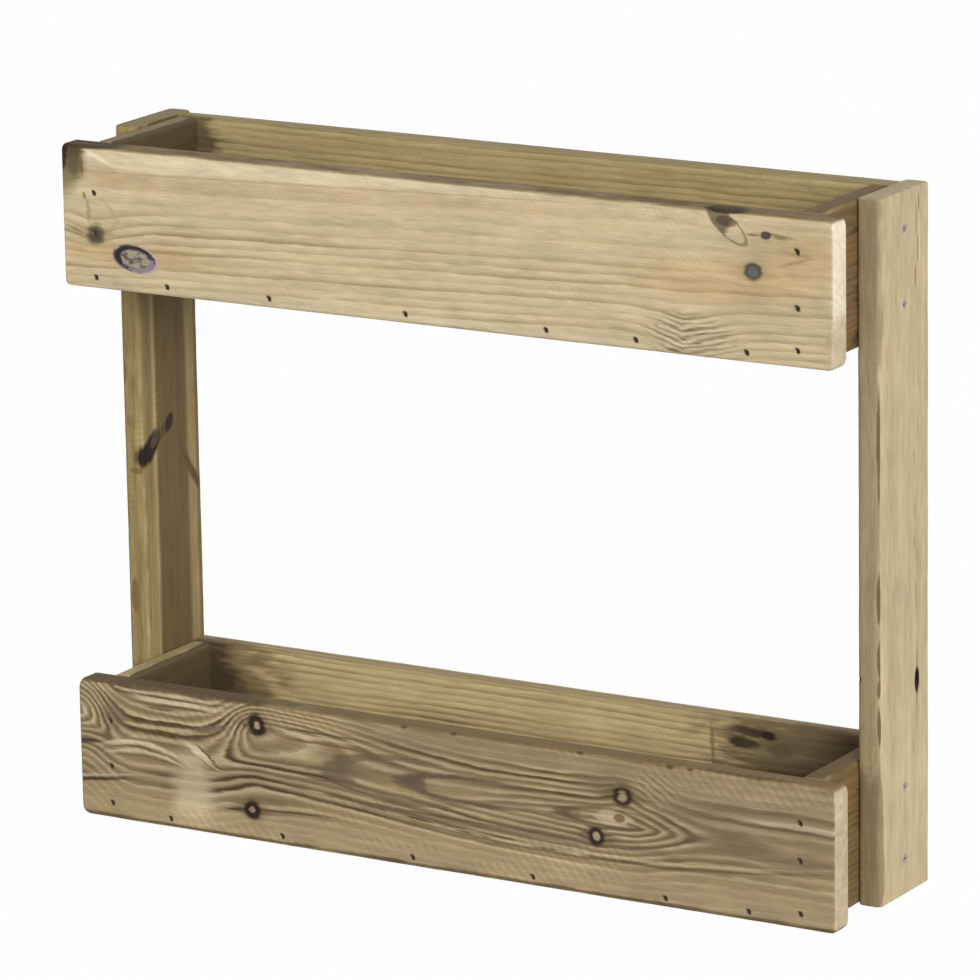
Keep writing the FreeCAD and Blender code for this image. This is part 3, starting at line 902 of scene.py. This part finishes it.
LOOKS = {}
LOOKS["upper_front_board"] = dict(
    PALE_LOOK, seed=11, pith=(95, -62, 0.035), ring=7.6, calm=[(20, -12, 0.35)],
    waves=(6, 2.4, 1.6), top_share=1, rough=0.35,
    swells=[
        (276, -62, 40, 50, 40, -13), (349, 15, 22, 22, 16, -6), (318, 66, 30, 30, 18, -7),
        (-395, -15, 26, 44, 24, -8),
    ],
    stains=[
        (-284, 61, 140, 620, 11, CREAM, 0.85, 0.033), (-284, 42, 160, 520, 8, (197, 168, 132), 0.55, 0.03),
        (-284, 50.5, 110, 600, 1.3, TAN, 0.6, 0.033), (0, -67, 420, 330, 6, (214, 198, 164), 0.6),
        (330, 4, 120, 90, 24, STRAW, 0.4), (404, 34, 70, 40, 32, STRAW, 0.4),
        (-388, -34, 44, 150, 13, STRAW, 0.5), (-424, -13, 12, 15, 1.8, (138, 112, 72), 0.7, -0.35),
        (-404, 6, 6, 6, 6, (150, 126, 88), 0.5, -2.6), (-377, 8, 9, 7, 3, TAN, 0.5, -1.2),
        (-375, -7, 6, 6, 3, TAN, 0.5, 1.4), (-392, 63, 18, 26, 3.2, (236, 222, 190), 0.95, -0.42),
        (392, 28, 16, 20, 2.2, (164, 136, 92), 0.55, 0.3),
        (400, 36, 22, 12, 1.8, (164, 136, 92), 0.5, -0.1),
        (380, 52, 28, 14, 1.4, (130, 112, 78), 0.6, -0.1), (346, 52, 12, 14, 1.1, (130, 112, 78), 0.5),
        (-384, 46, 20, 60, 9, (198, 172, 130), 0.6, -0.1), (352, 52, 8, 6, 1.8, OLIVE, 0.6),
        (375, 51, 6, 10, 1.8, OLIVE, 0.6, -0.15), (268, -53, 8, 9, 2, CREAM, 0.8, -0.2),
        (285, -52, 7, 9, 1.8, CREAM, 0.7, 0.3), (270, -62, 9, 8, 1.8, CREAM, 0.7),
        (277, -47.5, 7, 8, 1.5, OLIVE, 0.75, 0.1), (262, -45, 6, 7, 1.2, OLIVE, 0.6, -0.3),
        (292, -50, 6, 7, 1.2, OLIVE, 0.6, 0.3), (271, -57.5, 6, 6, 1.4, OLIVE, 0.75),
        (285, -60, 7, 7, 1.2, OLIVE, 0.6, 0.1), (257, -56, 7, 7, 1.1, OLIVE, 0.5, -0.2),
        (271, -68, 20, 20, 2.2, OLIVE, 0.7),
    ],
    ripples=[(273, -52, 38, 62, 23, 0.3, 0.24, 5.6, (138, 121, 88), CREAM, 0.62)],
    loops=[(321, 58.5, -38, 27, 9.5, ((96, 84, 62), 0.85, 0), ((122, 105, 76), 0.65, 0.16, 0))],
    knots=[
        (-395, -15.5, 11, 1, 0.6, (86, 78, 62), (112, 101, 80), 0.9),
        (349.4, 15, 10, 1, 0.55, (104, 105, 99), (72, 68, 59), 0.92),
        (363, 52, 4, 1.5, 0.5, (84, 80, 72), (64, 57, 48), 0.95),
    ],
    spots=[
        (-434, 62, 14, 7, 17, 14, BARK, 0.9), (-431, 70, 13, 6, 7, 8, BARK, 0.9),
        (-420, 50, 10, 8, 10, 8, (104, 88, 66), 0.7), (434, -56, 0, 9, 36, 40, (200, 181, 146), 0.8),
        (-408, 72.5, 0, 44, 4.5, 30, (62, 49, 28), 0.85),
        (-411, 54, 14, 3, 11, 6, 0.12, (124, 96, 60), 0.75),
        (-408, 22, 14, 2, 4, 5, 0.2, (122, 99, 64), 0.75), (318, 72.5, 8, 26, 4, 14, BARK, 0.85),
        (321, 62, 14, 12, 6, 6, 0.6, (72, 64, 48), 0.7),
    ],
)
LOOKS["lower_front_board"] = dict(
    DARK_LOOK, seed=23, pith=(4, 4, 0), ring=10, phase=0.3, contrast=1.25, fading=2.2,
    late_start=0.22, late_end=0.76, late_peak=0.7, clouds=0.6, mark_step=11,
    # base_shade_share darkens the underside as painted shade
    calm=[(-46, -24, 0.25), (66, 44, 0.55)], waves=(7, 6, 4.2), top_share=1, base_shade_share=0.9, marks=0.1,
    bends=[(-219, 40, 190, 16), (-434, 20, 34, 34)],
    hush=[
        (-400, -42, 100, 110, 46, 0.9), (390, -34, 130, 200, 44, 0.9), (370, 52, 100, 200, 26, 0.75),
        (60, 62, 190, 190, 17, 0.75), (0, -52, 260, 300, 26, 0.7), (-10, 17, 105, 100, 21, 0.75),
        (-150, 32, 52, 60, 15, 0.7), (236, 48, 28, 36, 18, 0.85),
    ],
    ripples=[(232, 46, 18, 38, 16, 0.7, -0.7, 8, (100, 84, 60), (176, 158, 126), 0.42)],
    loops=[
        (-40, 16, 0, 95, 23, (SMOKE, 0.6, -67), ((110, 95, 74), 0.75, 0.24, 1)),
        (40, 15.5, 0, 94, 13.5, ((104, 89, 72), 0.8, -66), ((100, 85, 68), 0.85, 0.3, 0.8)),
        (190, 10, 0, 62, 9, (SMOKE, 0.6, -40), (RESIN, 0.7, 0.3, 0.8)),
    ],
    swells=[
        (-219, 44, 36, 170, 34, -32), (-219, 48, 26, 100, 14, -16), (-227, -39, 24, 60, 13, -9),
        (198, 4, 230, 60, 32, -42, True), (202, 33, 20, 20, 16, -12), (172, -10, 15, 15, 13, -6),
        (-440, 40, 40, 36, 34, -36),
    ],
    stains=[
        (330, 44, 110, 300, 34, (150, 132, 102), 0.6), (40, 62, 150, 330, 12, (146, 129, 100), 0.65),
        (400, 29, 70, 100, 3, SAND, 0.6), (400, -8, 80, 120, 5, SMOKE, 0.6),
        (-394, 36, 14, 16, 17, SMOKE, 0.75), (-298, -34, 26, 26, 46, SAND, 0.75),
        (330, 3, 70, 48, 9, SMOKE, 0.7), (60, -18, 170, 260, 5, SMOKE, 0.65),
        (-60, 16, 70, 60, 6, SMOKE, 0.35), (192, 44, 44, 26, 10, SMOKE, 0.7),
        (100, -60, 700, 700, 18, (170, 151, 118), 0.55), (-320, 60, 54, 60, 2.6, SAND, 0.9),
        (-330, 67, 60, 70, 2, SAND, 0.7), (-320, 55.5, 54, 66, 1.2, RESIN, 0.7),
        (-325, 64, 58, 70, 1.2, RESIN, 0.75), (-385, 65, 14, 16, 1.8, RESIN, 0.8, -0.22),
        (-336, 52, 18, 18, 2.2, RESIN, 0.7), (-340, 35, 60, 46, 1.6, RESIN, 0.5),
        (-275, 38, 24, 24, 4.5, (112, 96, 78), 0.85, 0.19), (-434, 6.5, 40, 24, 2.4, BARK, 0.85),
        (-384, 11.5, 22, 26, 1.8, RESIN, 0.9, 0.1), (-366, 12.5, 44, 60, 2.6, SAND, 0.95, 0, -0.0036),
        (-366, 7.5, 44, 62, 1.4, RESIN, 0.7, 0, -0.0036),
        (-362, 3.5, 40, 62, 1.8, SAND, 0.75, 0, -0.0034),
        (-360, -0.5, 36, 60, 1.1, RESIN, 0.6, 0, -0.003), (-290, 13, 22, 24, 3.2, SAND, 1, -0.4),
        (-278, 10.5, 18, 22, 1.6, RESIN, 0.85, -0.66), (-282, 5, 20, 22, 2, SAND, 0.8, -0.5),
        (-276, 1, 16, 18, 1.2, RESIN, 0.7, -0.5), (-434, -35, 60, 62, 2.2, BARK, 0.85, 0.13),
        (-420, -29, 60, 66, 1.5, SAND, 0.6, 0.13), (-240, -41, 20, 14, 1.8, BARK, 0.85, 0.06),
        (-190, -37, 40, 60, 1.3, RESIN, 0.85, 0.05), (-152, 51, 44, 66, 1.3, RESIN, 0.85, -0.02),
        (-150, 41, 46, 60, 1.6, (118, 88, 60), 0.85, -0.02), (-150, 46, 46, 66, 1.7, SAND, 0.5, -0.02),
        (-135, 2, 60, 70, 1.6, RESIN, 0.7, -0.13), (-54, -14.5, 110, 120, 1.5, RESIN, 0.6, -0.02),
        (380, 40, 100, 130, 3, (116, 99, 72), 0.8), (370, 24.5, 110, 130, 1.6, RESIN, 0.5, -0.01),
        # the first stain on the next line is a dark line along the bottom edge: painted shade
        (0, -70.5, 900, 900, 3.4, (80, 66, 46), 0.9), (150, -34, 240, 290, 1.6, RESIN, 0.7, 0, 0.00027),
        (150, -30, 200, 260, 1.6, SAND, 0.45, 0, 0.00027),
    ],
    knots=[
        (-219, 50.5, 10.8, 1.05, 0.3, (160, 142, 118), (42, 30, 20), 1),
        (-227, -39, 10.6, 0.95, 0.27, (150, 128, 112), (44, 30, 22), 1),
        (201.6, 33, 12, 1.05, 0.5, (164, 146, 114), BARK, 1),
        (172, -10, 9.8, 1, 0.38, (166, 148, 116), BARK, 1),
    ],
    spots=[
        (190, 10.5, 14, 22, 8, 8, SAND, 0.6), (197.6, 11.5, 14, 6.5, 5, 8, (128, 98, 64), 0.9),
        *((l, 72, 13, 5, 3, 3, RESIN, 0.8) for l in (-47, 10, 154, 255, 276)),
        (-340, 72.5, 0, 150, 5, 30, (78, 64, 45), 0.7), (330, 72.5, 9, 60, 3, 4, RESIN, 0.6),
    ],
)
LOOKS["upper_back_board"] = dict(
    INNER_LOOK, seed=31, pith=(120, -30, 0), top_share=0.3,
    # the spot darkens the inner face at the left end: painted shade in the corner
    spots=[(-392, 10, 14, 40, 90, 16, (70, 59, 42), 0.75)],
)
LOOKS["lower_back_board"] = dict(
    INNER_LOOK, seed=37, pith=(110, -30, 0), top_share=0.3, soft=0.5, early=(214, 191, 143),
    streak=(184, 160, 112),
    spots=[
        (316, 0, 14, 128, 260, 20, (104, 89, 64), 0.85),
        (-384, 0, 14, 100, 300, 24, 0.1, (118, 99, 66), 0.8),
        # the first spot on this line darkens the inner face in the left corner: painted shade
        (-388, -10, 14, 46, 120, 20, (64, 53, 38), 0.85), (300, 22, 14, 60, 5, 8, (84, 70, 50), 0.7),
        (280, 42, 14, 70, 6, 8, (150, 134, 102), 0.6), (252, 61, 14, 30, 6.5, 12, (62, 50, 42), 0.9),
        (242, 49, 14, 20, 7, 12, 0.4, (56, 46, 38), 0.9), (270, 60, 14, 11, 6, 12, BARK, 0.95),
        (284, 46, 14, 20, 8, 12, (80, 67, 49), 0.5), (207, 44, 14, 3.2, 26, 9, 0.06, (122, 100, 66), 0.6),
    ],
)
LOOKS["left_post"] = dict(
    INNER_LOOK, seed=41, pith=(8, -30, 0), ring=8, contrast=0.5, heart=(1, 30, (97, 80, 51), 0.88),
    end=(148, 132, 100), end_late=(112, 98, 72), slant=0, mark_step=6.6, marks=0.06, rough=0.35,
    early=(160, 140, 94),
    stains=[
        (0, 31, 380, 380, 2.6, (178, 159, 116), 0.7), (0, -34, 380, 380, 5, (150, 133, 98), 0.7),
        (0, 49, 380, 380, 2.4, (128, 110, 74), 0.6), (0, -49, 380, 380, 7.5, (112, 97, 70), 0.8),
        (0, 8, 380, 380, 3, (120, 101, 66), 0.5), (0, -14, 380, 380, 4, (120, 101, 67), 0.5),
        (0, 24, 380, 380, 2, (84, 68, 42), 0.5), (-24, -34, 28, 32, 7, (74, 55, 38), 0.85, 0.66),
        (-60, 49, 200, 60, 2, (136, 118, 80), 0.6), (150, 42, 260, 260, 8, (116, 99, 67), 0.7),
    ],
    spots=[
        (30, 15, 12.5, 8, 16, 8, 0.7, (84, 64, 44), 0.8), (14, 41, 12, 16, 19, 16, 0.6, (34, 26, 21), 1),
        (22, 33, 12.5, 8, 9, 4, 0.6, (88, 71, 52), 0.75), (34, 5.5, 12.5, 9, 8, 8, 0.6, (44, 32, 25), 0.95),
        (44, 52.5, -2, 7, 6, 6, (132, 104, 66), 0.6), (-8, 52.5, 2, 4, 6, 8, 0.5, (120, 92, 58), 0.7),
        (-140, 52.5, -4, 20, 5, 5, (120, 100, 66), 0.8), (95, 52.5, -10, 16, 5, 4, (126, 104, 66), 0.8),
        (-60, 52.5, 0, 40, 4, 4, (150, 128, 88), 0.6),
    ],
)
LOOKS["right_post"] = dict(
    PALE_LOOK, early=(198, 181, 145), seed=43, pith=(0, -90, 0), ring=9, contrast=0.3, threads=0.2,
    # on a post the top mask covers the front face, darkened here as painted shade
    grime_and_shade=(150, 133, 98), top_share=0.95, end=(198, 181, 146), end_late=(160, 143, 108),
    stains=[(-139, -25, 45, 45, 2.2, RESIN, 0.55), (20, 22, 420, 420, 5, (196, 178, 138), 0.6)],
    spots=[
        *((l, -20 + 3 * math.sin(l), 12.5, reach, 1.5, 4, 0.1, (156, 136, 98), 0.6)
          for l, reach in ((-205, 9), (-52, 14), (0, 5), (31, 11), (88, 6))),
        *((l, w, 12.5, reach, 1.9, 4, 0.12, (142, 122, 86), 0.75)
          for l, w, reach in ((264, -22, 12), (288, -27, 15), (318, -24, 18), (334, -29, 9))),
        (296, -31, 12.5, 26, 1.6, 4, 0.1, CREAM, 0.5),
        *((l, 51, 11, reach, 1.6, 3.2, 0.02, (92, 72, 44), 0.8)
          for l, reach in ((105, 60), (-40, 28), (-100, 20), (-131, 12), (-166, 24))),
        # these two spots are painted shadows on the upper and lower front face
        (270, 52.5, 0, 120, 8, 40, (150, 134, 102), 0.5), (-300, 52.5, 0, 95, 8, 40, (130, 113, 84), 0.7),
        (-139, -25, 12.5, 13, 5.4, 7, (30, 23, 17), 1),
    ],
)
# Left end boards: wood darkened all over and further on the inner face, as painted shade inside the trough
SHADED_INSIDE_END = dict(
    INNER_LOOK, contrast=0.4, early=(150, 131, 92), streak=(128, 110, 74),
    spots=[(0, 0, 13, 400, 400, 9, (70, 59, 41), 0.85)],
)
# Right end boards: wood darkened all over as painted shade, with a painted shadow on the outer face beside
# the post
SHADED_OUTSIDE_END = dict(
    INNER_LOOK, early=(124, 101, 66), late=(84, 66, 42), streak=(106, 85, 54), contrast=0.5,
    spots=[(100, 0, 14, 100, 400, 9, (42, 34, 25), 0.92)],
)
# end board tops take a tint for grime and painted shade
for trough in ("upper", "lower"):
    left_grime_and_shade = (146, 130, 98) if trough == "upper" else (198, 179, 138)
    for side, end_look, grime_and_shade in (("left", SHADED_INSIDE_END, left_grime_and_shade), ("right", SHADED_OUTSIDE_END, (116, 96, 60))):
        LOOKS[f"{trough}_{side}_end_board"] = dict(
            end_look, seed=50 + len(LOOKS), pith=(90, -40, 0), top_share=0.95, grime_and_shade=grime_and_shade)

# Rounded ends at each side, and in the same places as above:
# wanes, worn stretches of an edge: corner, along, reach, extra radius
# scoops, hollows: along, across, through, three radii, tint of the floor, tint of the upper part
SHAPES = {
    "upper_front_board": {
        "ends": (3.5, 6.5), "scoops": [(-440, 62, 18.5, 38, 48, 7.5, (140, 131, 92), (88, 74, 52))],
    },
    "lower_front_board": {"ends": (7.5, 6)},
    "left_post": {"ends": (2, 3)},
    "right_post": {
        "ends": (2, 3),
        "wanes": [(0, 105, 50, 2), (0, -40, 20, 2.5), (0, -100, 14, 2), (0, -147, 16, 2.2)],
        "scoops": [(-123, 54.5, -15, 7, 7, 7, BARK, RESIN), (-139, -25, 14.5, 12, 4.4, 7, BARK, BARK)],
    },
}


def axes_of(node):
    """Grain and width directions of a board."""
    if node.endswith("_post"):
        return POST_AXES
    return END_AXES if node.endswith("_end_board") else FACE_AXES


def seen_directly(graph):
    """1 for rays from the camera and for what metal mirrors, 0 for the light that falls on the object."""
    path = graph.add("ShaderNodeLightPath")
    rays = [Value(graph, path.outputs[f"Is {kind} Ray"]) for kind in ("Camera", "Glossy", "Transmission")]
    return graph.math("MAXIMUM", graph.math("MAXIMUM", rays[0], rays[1]), rays[2])


def make_stage():
    """White floor, daylight from all round and one soft sun."""
    mesh = bmesh.new()
    bmesh.ops.create_grid(mesh, x_segments=FLOOR_CELLS, y_segments=FLOOR_CELLS, size=FLOOR_REACH)
    floor = link_object("floor", baked(mesh, "floor"))
    graph = Graph(bpy.data.materials.new("floor"))
    shader = graph.add("ShaderNodeBsdfDiffuse")
    shader.inputs["Color"].default_value = (FLOOR_GREY, FLOOR_GREY, FLOOR_GREY, 1)
    paper = graph.add("ShaderNodeEmission")
    both = graph.add("ShaderNodeMixShader")
    graph.feed(both.inputs[0], seen_directly(graph) * FLOOR_GLOW)
    graph.join(shader.outputs[0], both.inputs[1])
    graph.join(paper.outputs[0], both.inputs[2])
    output = graph.add("ShaderNodeOutputMaterial")
    graph.join(both.outputs[0], output.inputs["Surface"])
    floor.data.materials.append(graph.owner)
    floor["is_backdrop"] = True
    scene.world = bpy.data.worlds.new("world")
    sky = Graph(scene.world)
    background = sky.add("ShaderNodeBackground")
    background.inputs["Color"].default_value = (1, 1, 1, 1)
    sky.feed(background.inputs["Strength"], seen_directly(sky) * (1 - SKY_LEVEL) + SKY_LEVEL)
    around = sky.add("ShaderNodeOutputWorld")
    sky.join(background.outputs[0], around.inputs["Surface"])
    sun = bpy.data.lights.new("sun", "SUN")
    sun.energy = SUN_LEVEL
    sun.angle = math.radians(SUN_SPREAD)
    lamp = link_object("sun", sun)
    lamp.rotation_euler = SUN_AIM.to_track_quat("-Z", "Y").to_euler()


def make_camera():
    """Camera where the photograph was taken from."""
    yaw, pitch, roll = (math.radians(angle) for angle in (CAMERA_YAW, CAMERA_PITCH, CAMERA_ROLL))
    ahead = Vector((-math.sin(yaw) * math.cos(pitch), math.cos(yaw) * math.cos(pitch), -math.sin(pitch)))
    level = Vector((math.cos(yaw), math.sin(yaw), 0))
    above = level.cross(ahead)
    right = level * math.cos(roll) + above * math.sin(roll)
    top = above * math.cos(roll) - level * math.sin(roll)
    data = bpy.data.cameras.new("camera")
    data.sensor_width = SENSOR
    data.lens = SENSOR * FOCAL_PIXELS / PHOTO_SIZE
    data.clip_end = CAMERA_FAR
    camera = link_object("camera", data)
    camera.matrix_world = placed(CAMERA_PLACE, right, top, -ahead)
    scene.camera = camera


fasteners = read_fasteners()
oval = Plate("oval_plate")
for node, look in LOOKS.items():
    shape = dict(SHAPES.get(node, {}), seed=look["seed"])
    make_plank(node, axes_of(node), shape, look, fasteners, oval if node == "upper_front_board" else None)
make_plate("oval_plate", oval)
nail_steel = steel("nail_steel", (52, 44, 36), (66, 48, 34), 2.0, 0.7, 0.1)
screw_zinc = steel("screw_zinc", (178, 172, 174), (128, 118, 112), 7.0, 0.4, 0.6)
for node in nodes:
    if node.endswith("_nails"):
        dress(node, nail_steel)
    elif node.endswith("_screws"):
        dress(node, screw_zinc)
for trough in ("upper", "lower"):
    node = f"{trough}_bottom_board"
    low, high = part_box(node)
    size = [side / MM for side in high - low]
    look = dict(INNER_LOOK, seed=71, pith=(-30, high.z / MM - 60, 0), size=size)
    dress(node, Wood(node, look).paint())
make_stage()
make_camera()
scene.view_settings.view_transform = "Standard"

low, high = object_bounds()
